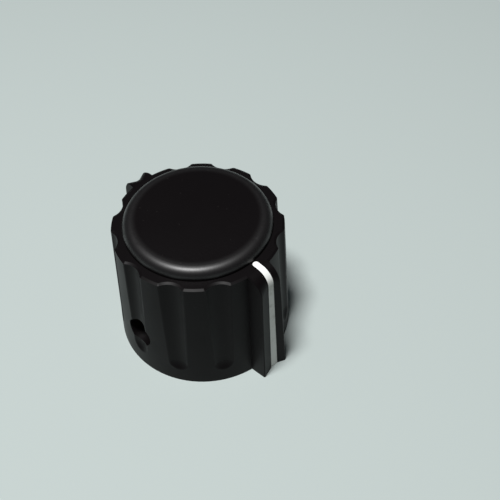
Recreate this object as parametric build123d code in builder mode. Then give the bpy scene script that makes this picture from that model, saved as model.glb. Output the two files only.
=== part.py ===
"""Fluted control knob with a pointer fin, for a round quarter-inch shaft.

Millimetres. The origin is on the shaft's axis in the plane of the base, +Z runs up towards the cap,
the pointer fin faces -Y and the set screw enters from -X.
"""

import os
from math import atan, degrees, radians, sqrt, tan

from build123d import *

os.makedirs("parts", exist_ok=True)

# Skirt and rim
base_diameter = 19.0
rim_diameter = 17.7
rim_height = 15.0
rim_break_width = 0.25
rim_break_drop = 0.12

# Raised cap
cap_diameter = 15.4
cap_height = 1.1
cap_crown = 0.2
cap_edge = 1.05

# Flutes round the skirt, shallower towards their round lower ends
flute_count = 12
flute_radius = 1.8
flute_depth_rim = 0.57
flute_depth_foot = 0.35
flute_foot = 2.0
flute_edge = 0.3

# Pointer fin, and the narrower fin at the back with a tighter corner
fin_reach_base = 11.2
fin_reach_rim = 10.6
fin_half_width = 1.65
fin_corner = 2.0
rear_fin_half_width = 1.5
rear_fin_corner = 1.5
fin_draft = 1.45
fin_flare = 4.8
fin_edge = 0.12
groove_margin = 0.15

# Groove in the pointer fin, shallower over the corner, and the deeper one in the rear fin
groove_depth = 0.5
groove_corner = 1.5
rear_groove_depth = 0.75
rear_groove_floor = 0.5

# White line on the floor of the pointer fin's groove, a little to one side of the fin's middle
line_width = 0.9
line_draft = 0.45
line_offset = 0.25
line_depth = 0.3
line_cap_gap = 0.1
line_end_radius = 0.3

# Hollow underside, with the shaft boss and its webs
skirt_wall = 1.6
hollow_top = 10.5
hollow_draft = 2.5
boss_wall = 1.15
boss_draft = 1.0
boss_recess = 1.5
web_thickness = 1.2
screw_web_wall = 1.0

# Brass bush with a blind bore for the shaft
shaft_diameter = 6.35
shaft_clearance = 0.025
bore_top = 12.0
bore_chamfer = 0.4
bush_diameter = 9.5
bush_top = 13.0
bush_groove_depth = 0.4
bush_groove_height = 1.6
bush_groove_middle = 9.5

# Set screw and its hole
screw_height = 5.0
screw_diameter = 3.0
screw_length = 4.5
screw_clearance = 0.05
screw_gap_to_bore = 0.15
screw_slot_width = 0.5
screw_slot_depth = 0.8
screw_point = 0.5
screw_hole_relief = 0.15

base_radius = base_diameter / 2
rim_radius = rim_diameter / 2
cap_radius = cap_diameter / 2
bore_radius = shaft_diameter / 2 + shaft_clearance
bush_radius = bush_diameter / 2
screw_radius = screw_diameter / 2
screw_hole_radius = screw_radius + screw_hole_relief
boss_radius = bush_radius + boss_wall
hollow_radius = base_radius - skirt_wall
cap_shoulder = rim_height + cap_height
cap_top = cap_shoulder + cap_crown
fin_lean = (fin_reach_base - fin_reach_rim) / rim_height
fin_slant = sqrt(1 + fin_lean**2)


def wall_radius(height):
    """Radius of the plain tapered skirt at a height."""
    return base_radius + (rim_radius - base_radius) * height / rim_height


def side_plane(across):
    """Plane of a fin's side view, with x outwards along -Y and y upwards."""
    return Plane(origin=(across, 0, 0), x_dir=(0, -1, 0), z_dir=(-1, 0, 0))


def flank_plane(middle, half_width, reach, flare, draft, side):
    """Plane on one side of a middle, which leans in upwards by its draft and outwards by its flare."""
    normal = (side, -tan(radians(flare)), tan(radians(draft)))
    return Plane(origin=(middle + side * half_width, -reach, 0), z_dir=normal)


def make_fin(half_width, corner, middle, floor_width, floor_depth, floor_corner):
    """Fin towards -Y with broken edges and a groove down its outer face, given by its floor."""
    outside = half_width + groove_margin
    stations = (
        (-outside, 0, corner),
        (middle - floor_width / 2, floor_depth, floor_corner),
        (middle + floor_width / 2, floor_depth, floor_corner),
        (outside, 0, corner),
    )
    with BuildPart() as fin:
        for across, depth, corner_radius in stations:
            with BuildSketch(side_plane(across)) as view:
                with BuildLine():
                    Polyline(
                        (0, 0),
                        (fin_reach_base - depth, 0),
                        (fin_reach_rim - depth, rim_height),
                        (0, rim_height),
                        close=True,
                    )
                make_face()
                shoulder = view.vertices().sort_by_distance((fin_reach_rim - depth, rim_height))[0]
                fillet(shoulder, corner_radius)
        loft(ruled=True)
        for side in (-1, 1):
            flank = flank_plane(0, half_width, fin_reach_base, fin_flare, fin_draft, side)
            split(bisect_by=flank, keep=Keep.BOTTOM)
        flanks = fin.faces().sort_by(Axis.X)
        outline = flanks[0].edges() + flanks[-1].edges()
        free_edges = outline.filter_by_position(Axis.Y, -fin_reach_base, -fin_edge)
        chamfer(free_edges.filter_by_position(Axis.Z, fin_edge, rim_height + fin_edge), fin_edge)
    return fin.part


# White line: a band under the groove's floor, drafted to a narrower top, with a round end at the cap
line_start = cap_radius + line_cap_gap
floor_base = fin_reach_base - groove_depth
floor_rim = fin_reach_rim - groove_depth
back_base = floor_base - line_depth * fin_slant
back_top = rim_height - line_depth
back_rim = back_base - back_top * fin_lean

with BuildPart() as indicator_line:
    with BuildSketch(side_plane(line_offset)) as band:
        with BuildLine():
            Polyline(
                (line_start, rim_height),
                (floor_rim, rim_height),
                (floor_base, 0),
                (back_base, 0),
                (back_rim, back_top),
                (line_start, back_top),
                close=True,
            )
        make_face()
        outer_corner = band.vertices().sort_by_distance((floor_rim, rim_height))[0]
        fillet(outer_corner, groove_corner)
        inner_corner = band.vertices().sort_by_distance((back_rim, back_top))[0]
        fillet(inner_corner, groove_corner - line_depth)
    extrude(amount=line_width, both=True)
    for side in (-1, 1):
        flank = flank_plane(line_offset, line_width / 2, 0, 0, line_draft, side)
        split(bisect_by=flank, keep=Keep.BOTTOM)
    round_end = indicator_line.edges().group_by(Axis.Y)[-1].sort_by(SortBy.LENGTH)[:2]
    fillet(round_end, line_end_radius)

indicator_line.part.label = "indicator_line"
export_step(indicator_line.part, "parts/indicator_line.step")


# Brass bush: turned, with a blind bore, a holding groove outside and a cross hole for the screw
with BuildPart() as shaft_bush:
    with BuildSketch(Plane.XY.offset(boss_recess)):
        Circle(bush_radius)
    extrude(amount=bush_top - boss_recess)
    with BuildSketch(Plane.XY.offset(boss_recess)):
        Circle(bore_radius)
    extrude(amount=bore_top - boss_recess, mode=Mode.SUBTRACT)
    mouth = shaft_bush.edges().filter_by(GeomType.CIRCLE).group_by(Axis.Z)[0].sort_by(SortBy.RADIUS)[0]
    chamfer(mouth, bore_chamfer)
    with BuildSketch(Plane.XY.offset(bush_groove_middle - bush_groove_height / 2)):
        Circle(bush_radius)
        Circle(bush_radius - bush_groove_depth, mode=Mode.SUBTRACT)
    extrude(amount=bush_groove_height, mode=Mode.SUBTRACT)
    with BuildSketch(Plane.YZ.offset(-bush_radius)):
        with Locations((0, screw_height)):
            Circle(screw_radius)
    extrude(amount=bush_radius, mode=Mode.SUBTRACT)

shaft_bush.part.label = "shaft_bush"
export_step(shaft_bush.part, "parts/shaft_bush.step")


# Set screw: headless, slotted outside, with a blunt point that stops short of the shaft
screw_tip = bore_radius + screw_gap_to_bore
with BuildPart() as set_screw:
    with BuildSketch(Plane.YZ.offset(-screw_tip)):
        with Locations((0, screw_height)):
            Circle(screw_radius - screw_clearance)
    extrude(amount=-screw_length)
    chamfer(set_screw.faces().sort_by(Axis.X)[-1].edges(), screw_point)
    with BuildSketch(Plane.YZ.offset(-screw_tip - screw_length)):
        with Locations((0, screw_height)):
            Rectangle(screw_slot_width, screw_diameter)
    extrude(amount=screw_slot_depth, mode=Mode.SUBTRACT)

set_screw.part.label = "set_screw"
export_step(set_screw.part, "parts/set_screw.step")


# Flute cutter: a round-nosed bar that leans in with the skirt
nose_height = flute_foot + sqrt(flute_radius**2 - (flute_radius - flute_depth_foot) ** 2)
nose_offset = wall_radius(nose_height) - flute_depth_foot + flute_radius
rim_offset = rim_radius - flute_depth_rim + flute_radius
flute_lean = degrees(atan((nose_offset - rim_offset) / (rim_height - nose_height)))
flute_plane = Plane(origin=(nose_offset, 0, nose_height)).rotated((0, -flute_lean, 0))

with BuildPart(flute_plane) as flute_cutter:
    Cylinder(flute_radius, rim_height, align=(Align.CENTER, Align.CENTER, Align.MIN))
    Sphere(flute_radius)


# Underside cutter: a drafted ring between the skirt and the boss, interrupted by four webs
hollow_narrowing = hollow_top * tan(radians(hollow_draft))
boss_widening = hollow_top * tan(radians(boss_draft))
screw_web_width = 2 * (screw_hole_radius + screw_web_wall)

with BuildPart() as underside_cutter:
    with BuildSketch(Plane.XZ):
        with BuildLine():
            Polyline(
                (boss_radius, 0),
                (hollow_radius, 0),
                (hollow_radius - hollow_narrowing, hollow_top),
                (boss_radius + boss_widening, hollow_top),
                close=True,
            )
        make_face()
    revolve(axis=Axis.Z)
    with BuildSketch(Plane.XY) as webs:
        Rectangle(web_thickness, base_diameter)
        with Locations((base_radius / 2, 0)):
            Rectangle(base_radius, web_thickness)
        with Locations((-base_radius / 2, 0)):
            Rectangle(base_radius, screw_web_width)
    extrude(amount=rim_height, mode=Mode.SUBTRACT)
    with BuildSketch(Plane.XY):
        Circle(hollow_radius)
    extrude(amount=boss_recess, taper=hollow_draft)


# Knob body: one moulding
pointer_fin = make_fin(fin_half_width, fin_corner, line_offset, line_width, groove_depth, groove_corner)
rear_fin = make_fin(
    rear_fin_half_width, rear_fin_corner, 0, rear_groove_floor, rear_groove_depth, rear_fin_corner
).rotate(Axis.Z, 180)

with BuildPart() as knob_body:
    with BuildSketch(Plane.XZ):
        with BuildLine():
            Polyline((0, 0), (base_radius, 0), (rim_radius, rim_height), (0, rim_height), close=True)
        make_face()
    revolve(axis=Axis.Z)
    with PolarLocations(0, flute_count):
        add(flute_cutter.part, mode=Mode.SUBTRACT)
    skirt = knob_body.faces().filter_by(GeomType.CONE)
    fillet(skirt.edges().filter_by_position(Axis.Z, flute_edge, rim_height - flute_edge), flute_edge)
    rim = knob_body.faces().sort_by(Axis.Z)[-1]
    chamfer(rim.edges(), rim_break_width, rim_break_drop, reference=rim)

    with BuildSketch(Plane.XZ) as cap_profile:
        with BuildLine():
            Polyline((0, cap_top), (0, rim_height), (cap_radius, rim_height), (cap_radius, cap_shoulder))
            TangentArc((0, cap_top), (cap_radius, cap_shoulder), tangent=(1, 0))
        make_face()
        shoulder = cap_profile.vertices().sort_by_distance((cap_radius, cap_shoulder))[0]
        fillet(shoulder, cap_edge)
    revolve(axis=Axis.Z)

    add(pointer_fin)
    add(rear_fin)
    add(indicator_line.part, mode=Mode.SUBTRACT)
    add(underside_cutter.part, mode=Mode.SUBTRACT)
    add(shaft_bush.part, mode=Mode.SUBTRACT)
    # The bush's own bore and mouth are clear of the moulding
    with BuildSketch(Plane.XY.offset(boss_recess)):
        Circle(bore_radius + bore_chamfer)
    extrude(amount=bore_top - boss_recess, mode=Mode.SUBTRACT)
    with BuildSketch(Plane.YZ):
        with Locations((0, screw_height)):
            Circle(screw_hole_radius)
    extrude(amount=-base_radius, mode=Mode.SUBTRACT)

knob_body.part.label = "knob_body"
export_step(knob_body.part, "parts/knob_body.step")
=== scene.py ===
"""Finishes, stage and camera for a fluted control knob.

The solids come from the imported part. This file gives the black moulding, the white line and the brass
their finishes, and sets up the table, the lamp and the camera.
"""

from math import cos, radians, sin

import bpy
from bpy.props import FloatProperty, FloatVectorProperty, PointerProperty
from mathutils import Matrix, Vector


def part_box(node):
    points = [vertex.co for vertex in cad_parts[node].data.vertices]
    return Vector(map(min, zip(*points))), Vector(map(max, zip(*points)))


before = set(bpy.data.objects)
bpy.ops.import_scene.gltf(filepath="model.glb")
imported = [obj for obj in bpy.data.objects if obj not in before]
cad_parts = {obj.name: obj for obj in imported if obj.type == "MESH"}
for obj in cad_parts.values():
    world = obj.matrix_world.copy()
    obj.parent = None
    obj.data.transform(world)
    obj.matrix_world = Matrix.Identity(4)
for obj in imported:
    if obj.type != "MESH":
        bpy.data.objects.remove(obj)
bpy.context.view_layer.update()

bl_info = {
    "name": "Fluted control knob",
    "version": (1, 0, 0),
    "blender": (4, 5, 0),
    "location": "View3D > Sidebar > Knob",
    "description": "Finishes and stage for a fluted control knob with a pointer fin",
    "category": "Object",
}

# The line runs over the rim, so its top is the rim's height
RIM_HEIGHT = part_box("indicator_line")[1].z
CAP_RADIUS = 0.0077

# Camera: its place in metres, and in degrees its heading from +X, its downward tilt and its roll
CAMERA_PLACE = (-0.03676, -0.04619, 0.07850)
CAMERA_HEADING = 46.4
CAMERA_TILT = 49.139
CAMERA_ROLL = -1.506
SENSOR_WIDTH = 36.0
NEAREST_SEEN = 0.005

# Point in the knob that the lamp faces
LAMP_AIM = (0, 0, 0.008)


def colour(name, description, default):
    """A colour property with its usual limits."""
    return FloatVectorProperty(
        name=name, description=description, default=default, subtype="COLOR", min=0, max=1
    )


class KnobMouldingSettings(bpy.types.PropertyGroup):
    """Finish of the black moulding."""

    black: colour("Black", "Colour of the moulded plastic", (0.0034, 0.0027, 0.0030))
    dust: colour("Dust", "Colour of the sparse specks of dust", (0.16, 0.15, 0.14))
    dust_share: FloatProperty(
        name="Dust share", description="Strongest cover of the specks", default=0.12, min=0, max=1
    )
    specular: FloatProperty(
        name="Specular level", description="Strength of the base's reflection", default=0.08, min=0, max=1
    )
    side_roughness: FloatProperty(
        name="Side roughness", description="Roughness of the skirt and the fins", default=0.42, min=0, max=1
    )
    cap_roughness: FloatProperty(
        name="Cap roughness", description="Roughness of the cap's grain", default=0.42, min=0, max=1
    )
    edge_band: FloatProperty(
        name="Edge band",
        description="Width of the shinier band at the cap's edge",
        default=0.0016,
        unit="LENGTH",
    )
    grain_size: FloatProperty(
        name="Grain size", description="Size of the cap's grain", default=0.00022, unit="LENGTH"
    )
    cap_radius: FloatProperty(
        name="Cap radius", description="Radius at the cap's foot", default=CAP_RADIUS, unit="LENGTH"
    )
    rim_height: FloatProperty(
        name="Rim height",
        description="Height of the rim that the cap stands on",
        default=RIM_HEIGHT,
        unit="LENGTH",
    )


class KnobLineSettings(bpy.types.PropertyGroup):
    """Finish of the white line."""

    white: colour("White", "Colour of the line's filling", (0.80, 0.81, 0.79))
    # This dark colour serves both for random patches of dirt and as painted shade on the line's side below
    # the rim
    soil_and_side_shade: colour("Soil", "Colour of the soil along the line", (0.30, 0.29, 0.26))
    roughness: FloatProperty(
        name="Roughness", description="Roughness of the filling", default=0.45, min=0, max=1
    )
    # Painted shade: how far the line's side below the rim is darkened, standing in for the weaker light
    # there
    side_painted_shade: FloatProperty(
        name="Side painted shade",
        description="Share of painted shade on the line below the rim",
        default=0.5,
        min=0,
        max=1,
    )


class KnobBrassSettings(bpy.types.PropertyGroup):
    """Finish of the bush and the set screw."""

    brass: colour("Brass", "Colour of clean turned brass", (0.76, 0.55, 0.24))
    tarnish: colour("Tarnish", "Colour of dulled brass", (0.30, 0.19, 0.08))
    bush_roughness: FloatProperty(
        name="Bush roughness", description="Roughness of the turned bush", default=0.28, min=0, max=1
    )
    screw_roughness: FloatProperty(
        name="Screw roughness", description="Roughness of the dulled screw", default=0.6, min=0, max=1
    )


class KnobStageSettings(bpy.types.PropertyGroup):
    """Table, lamp, room and camera."""

    table: colour("Table", "Colour of the table", (0.415, 0.468, 0.455))
    surround: colour("Surround", "Colour of the dim room around", (0.60, 0.66, 0.70))
    table_size: FloatProperty(
        name="Table size", description="Width of the table", default=1.2, unit="LENGTH"
    )
    key_power: FloatProperty(
        name="Key power", description="Power of the round lamp high above the knob, in watts", default=1.7
    )
    key_size: FloatProperty(
        name="Key size", description="Diameter of the lamp", default=0.085, unit="LENGTH"
    )
    key_distance: FloatProperty(
        name="Key distance", description="Distance of the lamp from the knob", default=0.35, unit="LENGTH"
    )
    key_azimuth: FloatProperty(
        name="Key azimuth", description="Direction of the lamp about Z, in degrees from +X", default=182
    )
    key_elevation: FloatProperty(
        name="Key elevation", description="Height of the lamp over the table, in degrees", default=78.0
    )
    room_strength: FloatProperty(
        name="Room strength", description="Strength of the dim room's light", default=0.08
    )
    lens: FloatProperty(
        name="Lens", description="Focal length for the sensor's width, in millimetres", default=61.2
    )


def new_group(name, inputs, outputs):
    """An empty shader node group with its sockets, and its input and output nodes."""
    group = bpy.data.node_groups.new(name, "ShaderNodeTree")
    for socket, kind, default in inputs:
        item = group.interface.new_socket(socket, in_out="INPUT", socket_type=kind)
        if default is not None:
            item.default_value = default
    for socket, kind in outputs:
        group.interface.new_socket(socket, in_out="OUTPUT", socket_type=kind)
    entry = group.nodes.new("NodeGroupInput")
    leave = group.nodes.new("NodeGroupOutput")
    return group, entry, leave


def add_node(tree, kind, inputs=None, **settings):
    """A node with its settings, its values and its links from other sockets."""
    node = tree.nodes.new(kind)
    for key, value in settings.items():
        setattr(node, key, value)
    for key, value in (inputs or {}).items():
        if isinstance(value, bpy.types.NodeSocket):
            tree.links.new(value, node.inputs[key])
        else:
            node.inputs[key].default_value = value
    return node


def add_math(tree, operation, first, second=0.0, third=0.0, clamp=False):
    """Result of a maths node."""
    values = {0: first, 1: second, 2: third}
    return add_node(tree, "ShaderNodeMath", values, operation=operation, use_clamp=clamp).outputs[0]


def add_ramp(tree, value, start, end):
    """A mask that goes smoothly from 0 where the value is start to 1 where it is end."""
    node = add_node(
        tree,
        "ShaderNodeMapRange",
        {"Value": value, "From Min": start, "From Max": end},
        interpolation_type="SMOOTHSTEP",
    )
    return node.outputs["Result"]


def mix_colours(tree, factor, first, second):
    """Colour mix whose inputs are the colour sockets."""
    node = tree.nodes.new("ShaderNodeMix")
    node.data_type = "RGBA"
    for index, value in ((0, factor), (6, first), (7, second)):
        if isinstance(value, bpy.types.NodeSocket):
            tree.links.new(value, node.inputs[index])
        else:
            node.inputs[index].default_value = value
    return node.outputs[2]


def opaque(rgb):
    """A colour with full alpha."""
    return (*rgb, 1.0)


def build_grain_group():
    """Moulded grain: a height and a roughness change from two sizes of noise."""
    group, entry, leave = new_group(
        "moulded_grain",
        [
            ("Position", "NodeSocketVector", None),
            ("Size", "NodeSocketFloat", 0.0002),
            ("Patch Size", "NodeSocketFloat", 0.004),
        ],
        [("Height", "NodeSocketFloat"), ("Patches", "NodeSocketFloat")],
    )
    fine_scale = add_math(group, "DIVIDE", 1.0, entry.outputs["Size"])
    patch_scale = add_math(group, "DIVIDE", 1.0, entry.outputs["Patch Size"])
    fine = add_node(
        group,
        "ShaderNodeTexNoise",
        {"Vector": entry.outputs["Position"], "Scale": fine_scale, "Detail": 2.0, "Roughness": 0.6},
    )
    patches = add_node(
        group,
        "ShaderNodeTexNoise",
        {"Vector": entry.outputs["Position"], "Scale": patch_scale, "Detail": 4.0, "Roughness": 0.55},
    )
    group.links.new(fine.outputs["Fac"], leave.inputs["Height"])
    group.links.new(patches.outputs["Fac"], leave.inputs["Patches"])
    return group


def build_specks_group():
    """Sparse specks, such as dust, as a mask."""
    group, entry, leave = new_group(
        "sparse_specks",
        [
            ("Position", "NodeSocketVector", None),
            ("Spacing", "NodeSocketFloat", 0.0012),
            ("Size", "NodeSocketFloat", 0.06),
        ],
        [("Mask", "NodeSocketFloat")],
    )
    scale = add_math(group, "DIVIDE", 1.0, entry.outputs["Spacing"])
    cells = add_node(
        group, "ShaderNodeTexVoronoi", {"Vector": entry.outputs["Position"], "Scale": scale}
    )
    ring = add_math(group, "SUBTRACT", entry.outputs["Size"], cells.outputs["Distance"])
    mask = add_math(group, "DIVIDE", ring, entry.outputs["Size"], clamp=True)
    group.links.new(mask, leave.inputs["Mask"])
    return group


def new_material(name):
    """A material with an empty tree, its Principled BSDF and the position on the piece."""
    material = bpy.data.materials.new(name)
    material.use_nodes = True
    tree = material.node_tree
    tree.nodes.clear()
    shader = tree.nodes.new("ShaderNodeBsdfPrincipled")
    output = tree.nodes.new("ShaderNodeOutputMaterial")
    tree.links.new(shader.outputs["BSDF"], output.inputs["Surface"])
    place = tree.nodes.new("ShaderNodeTexCoord")
    return material, tree, shader, place.outputs["Object"]


def place_group(tree, name, **inputs):
    """A shared node group placed in a material, with its own values."""
    node = tree.nodes.new("ShaderNodeGroup")
    node.node_tree = bpy.data.node_groups[name]
    for key, value in inputs.items():
        socket = node.inputs[key.replace("_", " ").title()]
        if isinstance(value, bpy.types.NodeSocket):
            tree.links.new(value, socket)
        else:
            socket.default_value = value
    return node


def dress(node, material):
    """Gives a CAD node its material."""
    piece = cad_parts[node]
    piece.data.materials.clear()
    piece.data.materials.append(material)


class KNOB_OT_moulding(bpy.types.Operator):
    """Finish the moulding in black plastic, with fine grain on the cap and a shinier band at its edge"""

    bl_idname = "knob.moulding"
    bl_label = "Finish the moulding"

    def execute(self, context):
        settings = context.scene.knob_moulding
        material, tree, shader, position = new_material("black_moulded_plastic")
        grain = place_group(tree, "moulded_grain", position=position, size=settings.grain_size)
        specks = place_group(tree, "sparse_specks", position=position)

        axes = add_node(tree, "ShaderNodeSeparateXYZ", {"Vector": position})
        flat = add_node(tree, "ShaderNodeCombineXYZ", {"X": axes.outputs["X"], "Y": axes.outputs["Y"]})
        radius = add_node(tree, "ShaderNodeVectorMath", {0: flat.outputs["Vector"]}, operation="LENGTH")
        inside = add_ramp(tree, radius.outputs["Value"], settings.cap_radius * 1.01, settings.cap_radius)
        above = add_ramp(
            tree, axes.outputs["Z"], settings.rim_height + 0.00004, settings.rim_height + 0.0001
        )
        on_cap = add_math(tree, "MULTIPLY", inside, above)

        patches = grain.outputs["Patches"]
        smooth = add_math(tree, "MULTIPLY_ADD", patches, 0.10, settings.side_roughness - 0.05)
        dull = add_math(tree, "MULTIPLY_ADD", patches, 0.08, settings.cap_roughness - 0.04)
        roughness = add_node(
            tree, "ShaderNodeMix", {0: on_cap, 2: smooth, 3: dull}, data_type="FLOAT"
        )
        tree.links.new(roughness.outputs[0], shader.inputs["Roughness"])

        dusty = add_math(tree, "MULTIPLY", specks.outputs["Mask"], settings.dust_share)
        tree.links.new(
            mix_colours(tree, dusty, opaque(settings.black), opaque(settings.dust)),
            shader.inputs["Base Color"],
        )
        shader.inputs["Specular IOR Level"].default_value = settings.specular

        near_edge = add_ramp(
            tree,
            radius.outputs["Value"],
            settings.cap_radius - settings.edge_band,
            settings.cap_radius - settings.edge_band / 2,
        )
        rounded = add_ramp(
            tree, axes.outputs["Z"], settings.rim_height + 0.0001, settings.rim_height + 0.0005
        )
        speckle = add_math(tree, "MULTIPLY_ADD", grain.outputs["Height"], 0.8, 0.6)
        shine = add_math(tree, "MULTIPLY", near_edge, rounded)
        tree.links.new(add_math(tree, "MULTIPLY", shine, speckle, clamp=True), shader.inputs["Coat Weight"])
        shader.inputs["Coat Roughness"].default_value = settings.cap_roughness

        relief = add_math(tree, "MULTIPLY", grain.outputs["Height"], on_cap)
        bump = add_node(
            tree, "ShaderNodeBump", {"Height": relief, "Strength": 0.35, "Distance": 0.00005}
        )
        tree.links.new(bump.outputs["Normal"], shader.inputs["Normal"])
        dress("knob_body", material)
        return {"FINISHED"}


class KNOB_OT_line(bpy.types.Operator):
    """Finish the line in a smooth white filling with patches of dirt, and painted shade darkening its side
    below the rim
    """

    bl_idname = "knob.line"
    bl_label = "Finish the line"

    def execute(self, context):
        settings = context.scene.knob_line
        material, tree, shader, position = new_material("white_line_filling")
        grain = place_group(tree, "moulded_grain", position=position, size=0.00015, patch_size=0.0012)
        soiled = add_ramp(tree, grain.outputs["Patches"], 0.5, 0.8)
        height = add_node(tree, "ShaderNodeSeparateXYZ", {"Vector": position}).outputs["Z"]
        # Painted shade: the line's side below the rim is darkened towards the dark colour, as the side gets
        # less light
        on_side = add_ramp(tree, height, RIM_HEIGHT - 0.0003, RIM_HEIGHT - 0.0018)
        painted_side_shade = add_math(tree, "MULTIPLY", on_side, settings.side_painted_shade)
        # Mix of the random dirt patches and the painted side shade
        dirt_and_shade_share = add_math(tree, "MULTIPLY_ADD", soiled, 0.35, painted_side_shade)
        tree.links.new(
            mix_colours(tree, dirt_and_shade_share, opaque(settings.white), opaque(settings.soil_and_side_shade)),
            shader.inputs["Base Color"],
        )
        shader.inputs["Roughness"].default_value = settings.roughness
        bump = add_node(
            tree,
            "ShaderNodeBump",
            {"Height": grain.outputs["Height"], "Strength": 0.2, "Distance": 0.00003},
        )
        tree.links.new(bump.outputs["Normal"], shader.inputs["Normal"])
        dress("indicator_line", material)
        return {"FINISHED"}


class KNOB_OT_brass(bpy.types.Operator):
    """Finish the bush and the set screw in turned brass"""

    bl_idname = "knob.brass"
    bl_label = "Finish the brass"

    def execute(self, context):
        settings = context.scene.knob_brass
        finishes = (
            ("shaft_bush", "bush_brass", 0.35, settings.bush_roughness),
            ("set_screw", "screw_brass", 0.5, settings.screw_roughness),
        )
        for node, slot, dulled, base_roughness in finishes:
            material, tree, shader, position = new_material(f"turned_{node}")
            grain = place_group(tree, "moulded_grain", position=position, size=0.0003, patch_size=0.002)
            worn = add_ramp(tree, grain.outputs["Patches"], 0.35, 0.75)
            amount = add_math(tree, "MULTIPLY", worn, dulled)
            tree.links.new(
                mix_colours(tree, amount, opaque(settings.brass), opaque(settings.tarnish)),
                shader.inputs["Base Color"],
            )
            shader.inputs["Metallic"].default_value = 1.0
            roughness = add_math(tree, "MULTIPLY_ADD", worn, 0.15, base_roughness)
            tree.links.new(roughness, shader.inputs["Roughness"])
            dress(node, material)
        return {"FINISHED"}


class KNOB_OT_stage(bpy.types.Operator):
    """Set up the table, the lamp, the room and the camera"""

    bl_idname = "knob.stage"
    bl_label = "Set up the stage"

    def execute(self, context):
        settings = context.scene.knob_stage
        half = settings.table_size / 2
        mesh = bpy.data.meshes.new("table")
        mesh.from_pydata(
            [(-half, -half, 0), (half, -half, 0), (half, half, 0), (-half, half, 0)], [], [(0, 1, 2, 3)]
        )
        table = bpy.data.objects.new("table", mesh)
        context.scene.collection.objects.link(table)
        material, _, shader, _ = new_material("pale_table")
        shader.inputs["Base Color"].default_value = opaque(settings.table)
        shader.inputs["Roughness"].default_value = 0.9
        mesh.materials.append(material)

        camera_data = bpy.data.cameras.new("camera")
        camera_data.lens = settings.lens
        camera_data.sensor_width = SENSOR_WIDTH
        camera_data.clip_start = NEAREST_SEEN
        camera = bpy.data.objects.new("camera", camera_data)
        context.scene.collection.objects.link(camera)
        turn = (
            Matrix.Rotation(radians(CAMERA_HEADING - 90), 4, "Z")
            @ Matrix.Rotation(radians(90 - CAMERA_TILT), 4, "X")
            @ Matrix.Rotation(radians(CAMERA_ROLL), 4, "Z")
        )
        camera.matrix_world = Matrix.Translation(CAMERA_PLACE) @ turn
        context.scene.camera = camera

        lamp_data = bpy.data.lights.new("key_lamp", "AREA")
        lamp_data.shape = "DISK"
        lamp_data.size = settings.key_size
        lamp_data.energy = settings.key_power
        lamp = bpy.data.objects.new("key_lamp", lamp_data)
        context.scene.collection.objects.link(lamp)
        aim = Vector(LAMP_AIM)
        azimuth, elevation = radians(settings.key_azimuth), radians(settings.key_elevation)
        away = Vector((cos(azimuth) * cos(elevation), sin(azimuth) * cos(elevation), sin(elevation)))
        lamp.location = aim + away * settings.key_distance
        lamp.rotation_mode = "QUATERNION"
        lamp.rotation_quaternion = (-away).to_track_quat("-Z", "Y")

        world = bpy.data.worlds.new("dim_room")
        world.use_nodes = True
        background = world.node_tree.nodes["Background"]
        background.inputs["Color"].default_value = opaque(settings.surround)
        background.inputs["Strength"].default_value = settings.room_strength
        context.scene.world = world
        context.scene.view_settings.view_transform = "Standard"
        return {"FINISHED"}


class KNOB_PT_panel(bpy.types.Panel):
    """Lists the steps of the knob's look"""

    bl_label = "Knob"
    bl_idname = "KNOB_PT_panel"
    bl_space_type = "VIEW_3D"
    bl_region_type = "UI"
    bl_category = "Knob"

    def draw(self, context):
        for operator in OPERATORS:
            self.layout.operator(operator.bl_idname)


SETTINGS = {
    "knob_moulding": KnobMouldingSettings,
    "knob_line": KnobLineSettings,
    "knob_brass": KnobBrassSettings,
    "knob_stage": KnobStageSettings,
}
OPERATORS = (KNOB_OT_moulding, KNOB_OT_line, KNOB_OT_brass, KNOB_OT_stage)


def register():
    for name, settings in SETTINGS.items():
        bpy.utils.register_class(settings)
        setattr(bpy.types.Scene, name, PointerProperty(type=settings))
    for operator in OPERATORS:
        bpy.utils.register_class(operator)
    bpy.utils.register_class(KNOB_PT_panel)


def unregister():
    bpy.utils.unregister_class(KNOB_PT_panel)
    for operator in reversed(OPERATORS):
        bpy.utils.unregister_class(operator)
    for name, settings in reversed(SETTINGS.items()):
        delattr(bpy.types.Scene, name)
        bpy.utils.unregister_class(settings)


def main():
    register()
    build_grain_group()
    build_specks_group()
    for operator in OPERATORS:
        category, name = operator.bl_idname.split(".")
        getattr(getattr(bpy.ops, category), name)()


if __name__ == "__main__":
    main()
